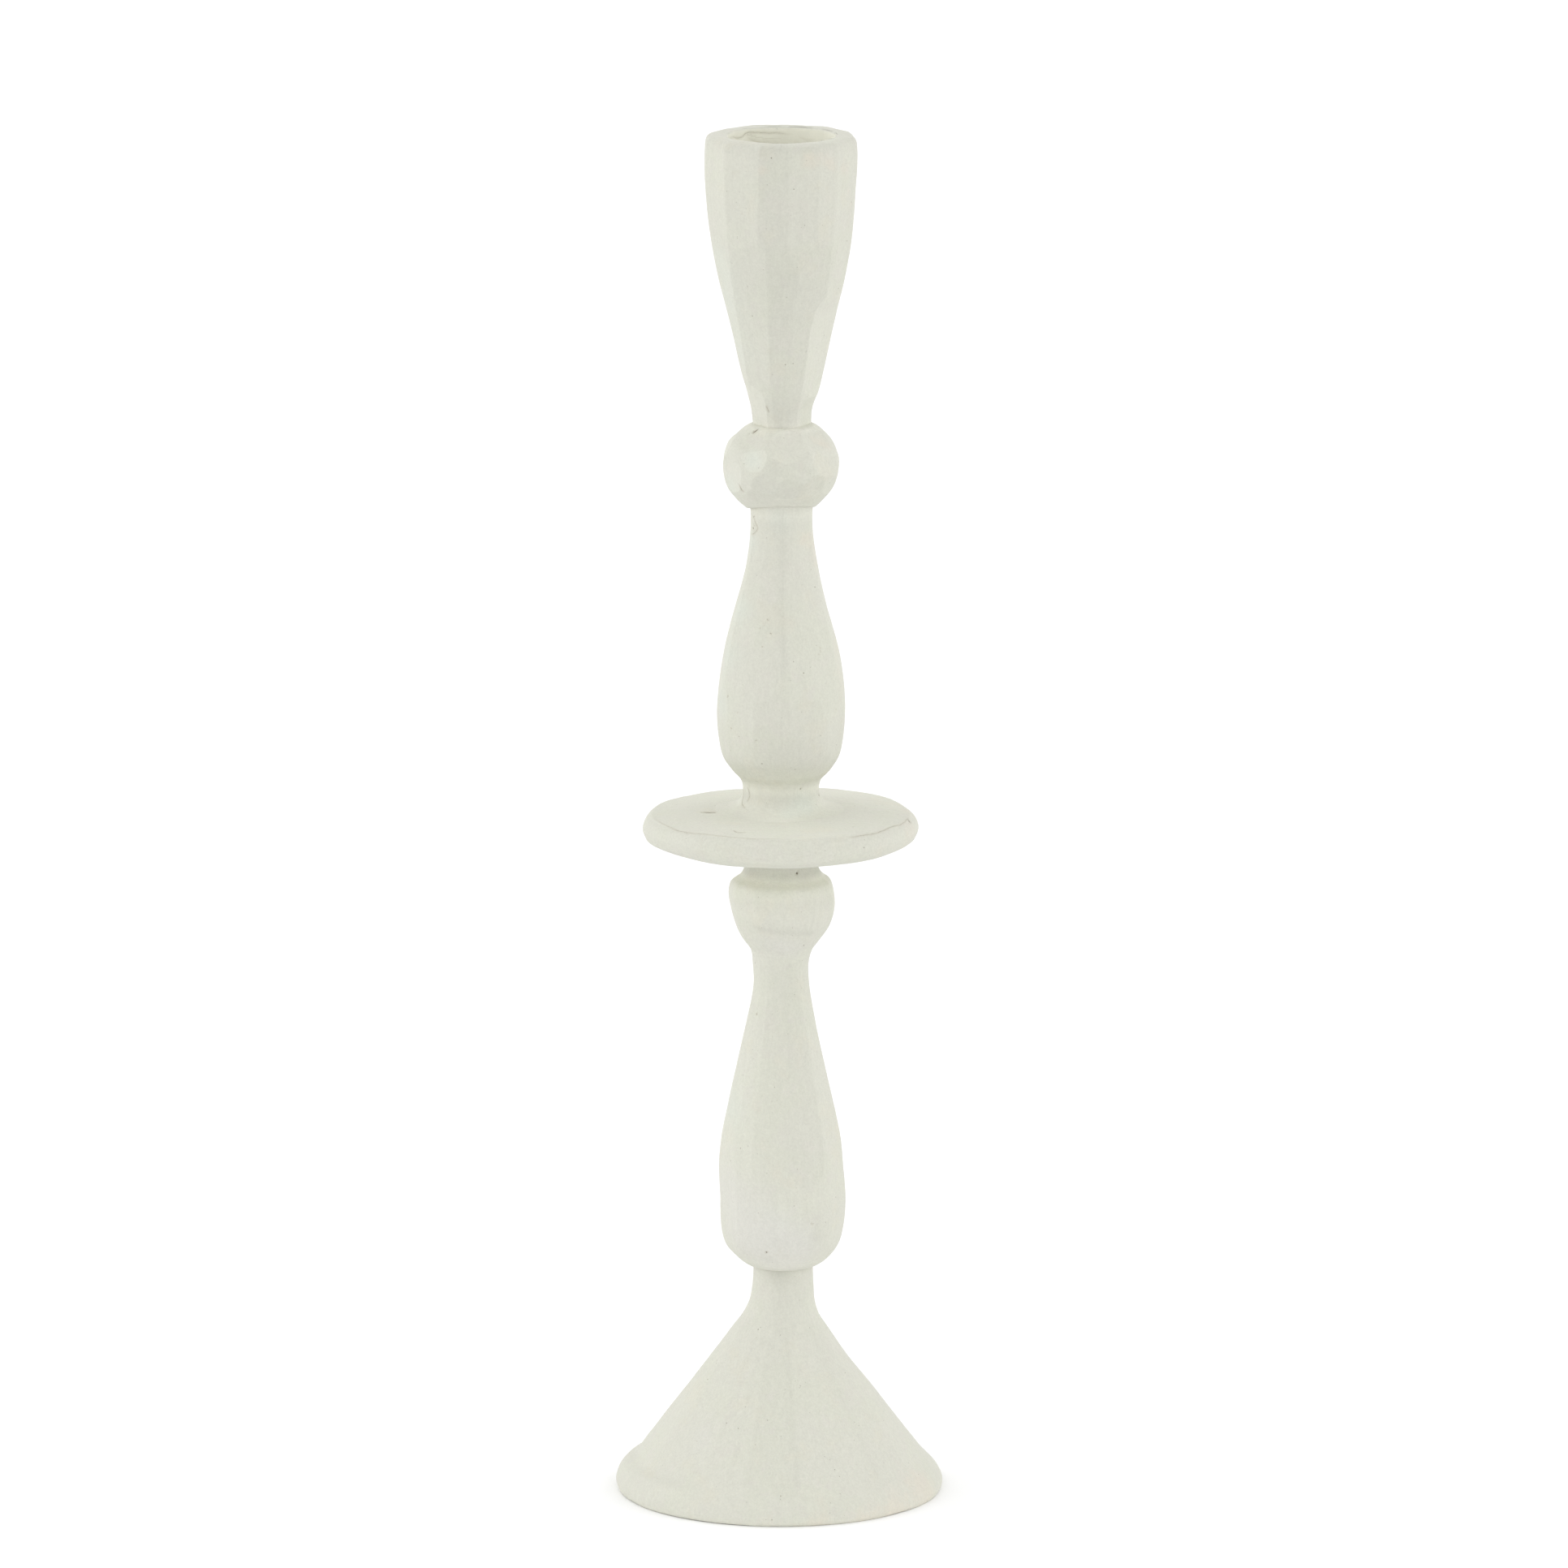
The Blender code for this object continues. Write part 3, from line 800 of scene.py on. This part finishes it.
KNOP_CRACKS = [
    ([(-50, 233.3), (-47, 232.5), (-44, 231.7)], 0.10),
    ([(-47, 244.5), (-45, 245), (-43, 245.4)], 0.15),
]
KNOP_WARM = [
    ((62, 242, None), 2.2, 0.9), ((50, 243.5, None), 1.6, 0.7), ((-75, 236, None), 1.5, 0.5),
]
KNOP_COOL = [((-30, 239, None), 2.6, 0.9), ((-72, 232, None), 3.5, 0.7)]
# Painted light where the knop meets the cup, over the shade of the joint
KNOP_TONES = [((None, 245.6, None), 0.8, 0.9)]


def make_knop():
    piece = carve_section(
        "knop", carve_knop, 1, 1, through=True, spacing=0.28, sink_start=0.0, sink_end=0.0,
        swell=0.08, lift=lift_knop, warm=KNOP_WARM, cool=KNOP_COOL, tones=KNOP_TONES,
        cracks=KNOP_CRACKS, seed=23,
    )
    dress(piece, painted_wood("knop_paint", 3.7))
    return piece


UPPER_FLATS = [
    (-30, 33, 0.0, 28, 64, 0.42, -0.1), (33, 30, 0.0, 28, 64, 0.42, 0.05),
    (92, 30, 0.1, 26, 64, 0.32, 0.0), (152, 30, 0.0, 26, 64, 0.32, 0.1),
    (212, 30, -0.1, 26, 64, 0.32, 0.0), (270, 28, 0.0, 26, 64, 0.32, 0.1),
    (-72, 16, 0.0, 12, 30, 0.5, 0.0), (-40, 15, 0.0, 14, 34, 0.35, 0.05),
    (-8, 15, 0.0, 10, 30, 0.3, -0.1), (24, 16, 0.0, 14, 32, 0.35, -0.05),
    (58, 16, 0.0, 12, 34, 0.4, 0.0), (100, 20, 0.0, 12, 30, 0.4, 0.0),
    (145, 20, 0.0, 12, 30, 0.4, 0.1), (190, 20, 0.0, 12, 30, 0.4, 0.0),
    (235, 20, 0.0, 12, 30, 0.4, 0.05),
]
UPPER_WARM = [((66, 220, None), 3.0, 0.8), ((70, 215, None), 3.0, 0.6), ((40, 221, None), 2.0, 0.6)]
UPPER_COOL = [
    ((34, 160, None), 3.5, 0.9), ((8, 158.5, None), 2.5, 0.6), ((-70, 219, None), 3.0, 0.8),
    ((0, 225, None), 4.0, 0.5), ((-60, 204, None), 4.0, 0.8), ((-66, 194, None), 5.0, 0.7),
    ((-70, 183, None), 4.0, 0.7),
]
UPPER_RIDGE = 3  # azimuth of the ridge between the two front flats
# Painted light under the baluster, on the collar and at the top where shade falls, and painted
# shade on the front
UPPER_TONES = [
    ((None, 165.0, None), 3.2, 1.5), ((None, 163.0, None), 1.0, 1.0),
    ((None, 158.8, None), 1.8, 0.8), ((0, 157.9, 12.5), 6.0, 0.8),
    ((None, 225.8, None), 1.2, 0.6), ((10, 173, None), 7.0, -0.3),
]
# A thin darker line painted along the ridge between the two front flats
UPPER_TONES += [((UPPER_RIDGE, height, None), 0.8, -0.24) for height in range(191, 227)]
UPPER_CRACKS = [
    ([(-64, 225.2), (-62, 224.9)], 0.16), ([(-66, 222.6), (-63, 222.3)], 0.14),
    ([(-72, 225.4), (-56, 224), (-50, 222.8), (-62, 221.2), (-76, 220.8)], 0.03),
    ([(-80, 163), (-74, 161), (-66, 159.6), (-52, 158.9)], 0.04),
    ([(-60, 163.6), (-55, 161.6), (-57, 160)], 0.03),
    ([(76, 161.4), (79, 161)], 0.14), ([(30, 163.8), (31, 163.5)], 0.12),
    ([(-24, 176.2), (-23, 175.9)], 0.10), ([(44, 196.3), (45, 196)], 0.09),
    ([(42, 195), (43, 194.7)], 0.08), ([(-56, 185.4), (-55, 185.1)], 0.07),
    ([(-43, 182.0), (-42, 181.7)], 0.07),
]
UPPER_NICKS = [
    (-17, 203), (-12, 200), (-21, 197), (-9, 194), (-26, 201), (-15, 191), (-38, 186), (-52, 178),
    (41, 188), (58, 182),
]
UPPER_CRACKS += [([(turn, high), (turn + 1.4, high - 0.2)], 0.03) for turn, high in UPPER_NICKS]


def flare_collar(stations):
    """Spreads the foot of the collar into a fillet that runs out on the plate."""
    low = stations[2, 0]
    fillet = [(low, 15.9, 15.9), (low + 0.42, 14.7, 14.7), (low + 0.72, 13.2, 13.2),
              (low + 1.25, 11.4, 11.4)]
    return np.concatenate((stations[:2], fillet, stations[3:]))


def carve_upper(radius, angle, height):
    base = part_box("upper_column")[0].z / MM
    return pare(radius, angle, height, base, UPPER_FLATS)


def make_upper():
    piece = carve_section(
        "upper_column", carve_upper, 2, 2, sink_start=0.9, sink_end=2.4, reshape=flare_collar,
        warm=UPPER_WARM, cool=UPPER_COOL, tones=UPPER_TONES, cracks=UPPER_CRACKS, seed=37,
    )
    dress(piece, painted_wood("upper_paint", 7.1))
    return piece


def carve_plate(radius, angle, height):
    """Makes the plate's edge waver, flattens it at the back left, and paints its top lighter:
    painted light from above.
    """
    rim = soft_step(10, 22, radius)
    wave = 0.5 * np.cos(5 * angle + 2.0) + 0.3 * np.cos(9 * angle + 0.4)
    back_left = np.clip(np.cos(angle - facing(-160)), 0, 1) ** 6
    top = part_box("drip_plate")[1].z / MM
    painted_top_light = 0.70 * soft_step(top - 1.4, top - 0.8, height)
    return radius + rim * (0.5 * wave - 1.6 * back_left), painted_top_light


PLATE_WARM = [
    ((70, 155, 31), 4.0, 0.8), ((95, 155.5, 30), 5.0, 0.7), ((160, 154, 31), 5.0, 0.6),
]
PLATE_CRACKS = [
    ([(-80, 157.2, 18.3), (-77, 157.2, 16.8), (-73, 157.3, 15.0)], 0.40),
    ([(-26, 156.9, 24.0), (-23, 156.8, 25.0), (-19, 156.9, 24.6)], 0.08),
    ([(30, 156.6, 29.4), (47, 156.6, 29.7), (57, 156.6, 29.4), (66, 156.6, 29.6),
      (80, 156.6, 29.3)], 0.04),
    ([(-80, 156.6, 29.3), (-62, 156.6, 29.2), (-51, 156.6, 29.4), (-30, 156.7, 29.1),
      (-12, 156.7, 29.3), (4, 156.7, 29.2)], 0.02),
    ([(75, 155.6, 30.2), (77, 156.4, 29.6)], 0.14),
]


def make_plate():
    piece = carve_section(
        "drip_plate", carve_plate, 1, 1, through=True, columns=384, spacing=0.36, rounding=1,
        sink_start=0.0, sink_end=0.0, swell=0.12, warm=PLATE_WARM, cracks=PLATE_CRACKS, seed=41,
    )
    dress(piece, painted_wood("plate_paint", 11.3, streak=(0.07, 0.9, 0.9)))
    return piece


LOWER_FLATS = [
    (-62, 17, 0.0, 6, 70, 0.5, 0.1), (-44, 15, 0.0, 24, 70, 0.4, 0.05),
    (-9, 18, 0.0, 20, 70, 0.5, 0.0), (26, 18, 0.0, 22, 70, 0.5, -0.15),
    (62, 18, 0.0, 8, 70, 0.5, 0.0), (98, 18, 0.0, 6, 70, 0.5, 0.1),
    (134, 18, 0.0, 6, 70, 0.5, 0.0), (170, 18, 0.0, 6, 70, 0.5, 0.1),
    (206, 18, 0.0, 6, 70, 0.5, 0.0), (242, 18, 0.0, 6, 70, 0.5, 0.0),
    (270, 15, 0.0, 6, 70, 0.5, 0.1),
    (-22, 15, 0.0, 2, 24, 0.4, 0.1), (12, 16, 0.0, 2, 24, 0.35, 0.1),
    (40, 14, 0.0, 2, 24, 0.4, 0.0),
    (-80, 22, 0.0, 74, 92, 0.8, 0.2), (-44, 17, 0.0, 74, 90, 0.6, 0.1),
    (-12, 16, 0.0, 76, 92, 0.6, 0.0), (20, 17, 0.0, 74, 90, 0.6, 0.1),
    (54, 18, 0.0, 76, 92, 0.6, 0.0), (90, 20, 0.0, 74, 92, 0.6, 0.1),
    (130, 20, 0.0, 74, 92, 0.6, 0.0), (170, 20, 0.0, 74, 92, 0.6, 0.1),
    (210, 20, 0.0, 74, 92, 0.6, 0.0), (248, 20, 0.0, 74, 92, 0.6, 0.1),
]
LOWER_COOL = [
    ((-10, 63, None), 6.0, 0.7), ((14, 59, None), 5.0, 0.5), ((-70, 89, None), 7.0, 0.6),
]
LOWER_GREY = [
    ((-25, 61, None), 9.0, 0.8), ((10, 57, None), 7.0, 0.9), ((-60, 71, None), 8.0, 0.6),
    ((-10, 128, None), 3.5, 0.6), ((20, 127, None), 3.0, 0.5),
]
# Painted light on the bulb's shoulder and at the foot of the baluster, painted shadow of the plate
# on the neck above the bulb, and a few darker spots
LOWER_TONES = [
    ((None, 142.0, None), 1.2, 3.4), ((None, 139.8, None), 1.8, 1.2),
    ((None, 136.0, None), 2.5, 0.3), ((None, 149.5, None), 3.5, -0.9),
    ((None, 144.6, None), 1.0, 0.5), ((None, 53.5, None), 3.5, 1.0),
    ((34, 65, None), 2.5, -0.35), ((34, 61, None), 2.0, -0.4), ((-14, 56, None), 1.6, -0.5),
]
BULB_CUT = 131.5  # height of the end of the knife cuts on the bulb
# A painted line of shade along the lower end of the bulb's knife cuts
LOWER_TONES += [((turn, BULB_CUT - 0.02 * turn, None), 0.8, -0.4) for turn in range(-32, 43, 4)]
LOWER_CRACKS = [
    ([(24, 144.6), (26, 144.3)], 0.30), ([(-16, 57.9), (-14, 57.6)], 0.16),
    ([(28, 64.4), (30, 64.2)], 0.14), ([(-50, 111.4), (-49, 111)], 0.12),
]


def seat_baluster(stations):
    """Ends the baluster square on the foot's neck, a little wider than the neck."""
    seat = stations[3].copy()
    stations = np.delete(stations, 3, axis=0)
    stations[1, 0] = seat[0]
    stations[2] = seat
    return stations


def carve_lower(radius, angle, height):
    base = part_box("lower_column")[0].z / MM
    return pare(radius, angle, height, base, LOWER_FLATS)


def make_lower():
    piece = carve_section(
        "lower_column", carve_lower, 2, 2, columns=256, sink_start=0.0, reshape=seat_baluster,
        cool=LOWER_COOL, grey=LOWER_GREY, tones=LOWER_TONES, cracks=LOWER_CRACKS, seed=53,
    )
    dress(piece, painted_wood("lower_paint", 17.9))
    return piece


FOOT_FLATS = []  # 15 narrow flats round the cone, unevenly spaced
for k in range(15):
    azimuth, half_width = -170 + 24 * k + 5 * math.sin(3.1 * k), 12.5 + 2 * math.cos(2.3 * k)
    FOOT_FLATS.append((azimuth, half_width, 0.0, 9, 38, 0.25, 0.06 * (-1) ** k))
FOOT_WARM = [
    ((64, 2, 36), 6.0, 1.3), ((45, 1, 36.5), 5.0, 1.2), ((30, 0, 37), 4.0, 0.9),
    ((14, 0, 37), 4.0, 0.8), ((-6, 0, 37), 4.0, 0.5), ((150, 9, 33), 7.0, 0.6),
]
FOOT_GREY = [((-42, 15, 27), 5.0, 0.5)]
# Painted light at the top of the neck and along the bottom edge, and painted shadow of the baluster
# on the neck in front
FOOT_TONES = [
    ((None, 51.0, None), 2.2, 0.3), ((-5, 52.0, 6.8), 3.0, -1.4), ((None, 0.4, None), 1.2, 1.2),
]
for azimuth in (-32, -22, -13, 7, 43, 61):  # faint lines of painted shade down the cone, along its shallow flats
    FOOT_TONES += [((azimuth, height, None), 0.7, -0.22) for height in range(8, 38)]


def carve_foot(radius, angle, height):
    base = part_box("foot")[0].z / MM
    return pare(radius, angle, height, base, FOOT_FLATS)


def make_foot():
    piece = carve_section(
        "foot", carve_foot, 1, 5, through=True, columns=384, spacing=0.4, rounding=1,
        sink_start=0.28, sink_end=1.5, warm=FOOT_WARM, grey=FOOT_GREY, tones=FOOT_TONES, seed=67,
    )
    dress(piece, painted_wood("foot_paint", 23.3))
    return piece


# ---------------------------------------------------------------- inner pieces and the pad


def make_felt():
    """Pressed undyed wool felt under the foot."""
    n = Nodes("felt_cloth")
    fibres = n.noise((2.2, 2.2, 6.0), 5.0, 0.7)
    clumps = n.noise(0.35, 3.0)
    colour = n.mix(fibres, (0.52, 0.50, 0.42), (0.72, 0.70, 0.61))
    colour = n.mix(n.spread(clumps, 0.4, 0.7, 0.0, 0.4), colour, (0.50, 0.47, 0.39))
    n.put(n.shader.inputs["Base Color"], colour)
    n.put(n.shader.inputs["Roughness"], n.spread(clumps, 0.3, 0.7, 0.88, 1.0))
    n.shader.inputs["Sheen Weight"].default_value = 0.5
    n.put(n.shader.inputs["Normal"], n.bump(fibres, 0.25))
    dress(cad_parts["felt_pad"], n.material)


def beech(name, shift):
    """Bare beech with fine pores along the grain."""
    n = Nodes(name)
    grain = n.noise((1.4, 1.4, 0.05), 4.0, 0.6, shift=shift)
    pores = n.noise((5.0, 5.0, 0.35), 2.0, 0.6, shift=shift)
    colour = n.mix(n.spread(grain, 0.35, 0.65), (0.52, 0.34, 0.18), (0.68, 0.49, 0.29))
    colour = n.mix(n.spread(pores, 0.60, 0.72, 0.0, 0.5), colour, (0.30, 0.17, 0.08))
    n.put(n.shader.inputs["Base Color"], colour)
    n.put(n.shader.inputs["Roughness"], n.spread(grain, 0.3, 0.7, 0.5, 0.68))
    n.put(n.shader.inputs["Normal"], n.bump(pores, 0.05))
    return n.material


def plated_steel(name, shift):
    """Zinc-plated steel with drawing marks and dull spots."""
    n = Nodes(name)
    marks = n.noise((0.6, 0.6, 9.0), 3.0, 0.6, shift=shift)
    spots = n.noise(0.5, 4.0, 0.6, shift=shift + 3)
    colour = n.mix(n.spread(spots, 0.4, 0.65), (0.62, 0.61, 0.57), (0.50, 0.49, 0.44))
    n.put(n.shader.inputs["Base Color"], colour)
    n.shader.inputs["Metallic"].default_value = 1.0
    n.put(n.shader.inputs["Roughness"], n.spread(spots, 0.35, 0.7, 0.26, 0.45))
    n.put(n.shader.inputs["Normal"], n.bump(marks, 0.02))
    return n.material


def dress_inner_pieces():
    for number, node in enumerate(("plate_dowel", "knop_dowel")):
        dress(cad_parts[node], beech(f"{node}_beech", 5.0 * number))
    for number, node in enumerate(("foot_screw", "foot_washer")):
        dress(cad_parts[node], plated_steel(f"{node}_steel", 5.0 * number))


# ---------------------------------------------------------------- studio


HORIZON_LIGHT = 1.39  # strength of the sky
ZENITH_LIGHT = 0.98
SKY_BAND = 0.6  # the sine of the height where the sky has dimmed to its zenith light
LEFT_SUN = 0.73  # W/m2
RIGHT_SUN = 0.59
SUN_TURN = 100  # degrees from the front, to each side
SUN_HEIGHT = 34
SUN_WIDTH = 60
FILL_PLACE = (0.0, -0.30, 0.025)  # m
FILL_AIM = (0.0, 0.0, 0.1)
FILL_SIZE = (0.4, 0.04)
FILL_WATTS = 0.085
FLOOR_HALF = 12.0
FLOOR_WHITE = 0.90


def aim(thing, target):
    thing.rotation_mode = "QUATERNION"
    direction = Vector(target) - thing.location
    thing.rotation_quaternion = direction.to_track_quat("-Z", "Y")


def make_camera():
    data = bpy.data.cameras.new("camera")
    data.lens, data.sensor_width = LENS_MM, SENSOR_MM
    data.clip_start, data.clip_end = 0.1, 100.0
    camera = bpy.data.objects.new("camera", data)
    camera.location = (CAMERA_ASIDE, -CAMERA_DISTANCE, CAMERA_HEIGHT)
    aim(camera, (CAMERA_ASIDE, 0.0, AIM_HEIGHT))
    bpy.context.scene.collection.objects.link(camera)
    bpy.context.scene.camera = camera


def make_soft_sun(name, azimuth, strength):
    """A very wide, weak sun. It lights the whole floor evenly, so the floor stays white."""
    data = bpy.data.lights.new(name, "SUN")
    data.energy = strength
    data.angle = math.radians(SUN_WIDTH)
    light = bpy.data.objects.new(name, data)
    turn, rise = facing(azimuth), math.radians(SUN_HEIGHT)
    light.location = (math.cos(turn) * math.cos(rise), math.sin(turn) * math.cos(rise),
                      math.sin(rise))
    aim(light, (0.0, 0.0, 0.0))
    bpy.context.scene.collection.objects.link(light)


def make_low_softbox():
    """A soft light low in front, out of the frame, that fills the shade under the mouldings."""
    data = bpy.data.lights.new("low_fill", "AREA")
    data.shape, data.size, data.size_y = "RECTANGLE", *FILL_SIZE
    data.energy = FILL_WATTS
    light = bpy.data.objects.new("low_fill", data)
    light.location = FILL_PLACE
    light.visible_camera = False
    aim(light, FILL_AIM)
    bpy.context.scene.collection.objects.link(light)


def make_sky():
    """A white sky, a little brighter towards the horizon."""
    world = bpy.data.worlds.new("studio")
    world.use_nodes = True
    background = world.node_tree.nodes["Background"]
    background.inputs["Color"].default_value = (1.0, 1.0, 1.0, 1.0)
    tree = world.node_tree
    direction = tree.nodes.new("ShaderNodeTexCoord")
    parts = tree.nodes.new("ShaderNodeSeparateXYZ")
    strength = tree.nodes.new("ShaderNodeMapRange")
    strength.inputs["From Max"].default_value = SKY_BAND
    strength.inputs["To Min"].default_value = HORIZON_LIGHT
    strength.inputs["To Max"].default_value = ZENITH_LIGHT
    tree.links.new(direction.outputs["Generated"], parts.inputs[0])
    tree.links.new(parts.outputs["Z"], strength.inputs["Value"])
    tree.links.new(strength.outputs["Result"], background.inputs["Strength"])
    bpy.context.scene.world = world
    bpy.context.scene.view_settings.view_transform = "Standard"


def make_floor():
    corners = [(x * FLOOR_HALF, y * FLOOR_HALF, 0) for x, y in ((-1, -1), (1, -1), (1, 1), (-1, 1))]
    mesh = bpy.data.meshes.new("floor")
    mesh.from_pydata(corners, [], [(0, 1, 2, 3)])
    floor = bpy.data.objects.new("floor", mesh)
    floor.location.z = cad_low.z
    bpy.context.scene.collection.objects.link(floor)
    n = Nodes("floor_paper")
    n.put(n.shader.inputs["Base Color"], (FLOOR_WHITE,) * 3)
    n.put(n.shader.inputs["Roughness"], 0.9)
    floor.data.materials.append(n.material)


def make_studio():
    make_sky()
    make_soft_sun("left_light", -SUN_TURN, LEFT_SUN)
    make_soft_sun("right_light", SUN_TURN, RIGHT_SUN)
    make_low_softbox()
    make_floor()


make_camera()
make_studio()
make_foot()
make_lower()
make_plate()
make_upper()
make_knop()
make_cup()
make_felt()
dress_inner_pieces()
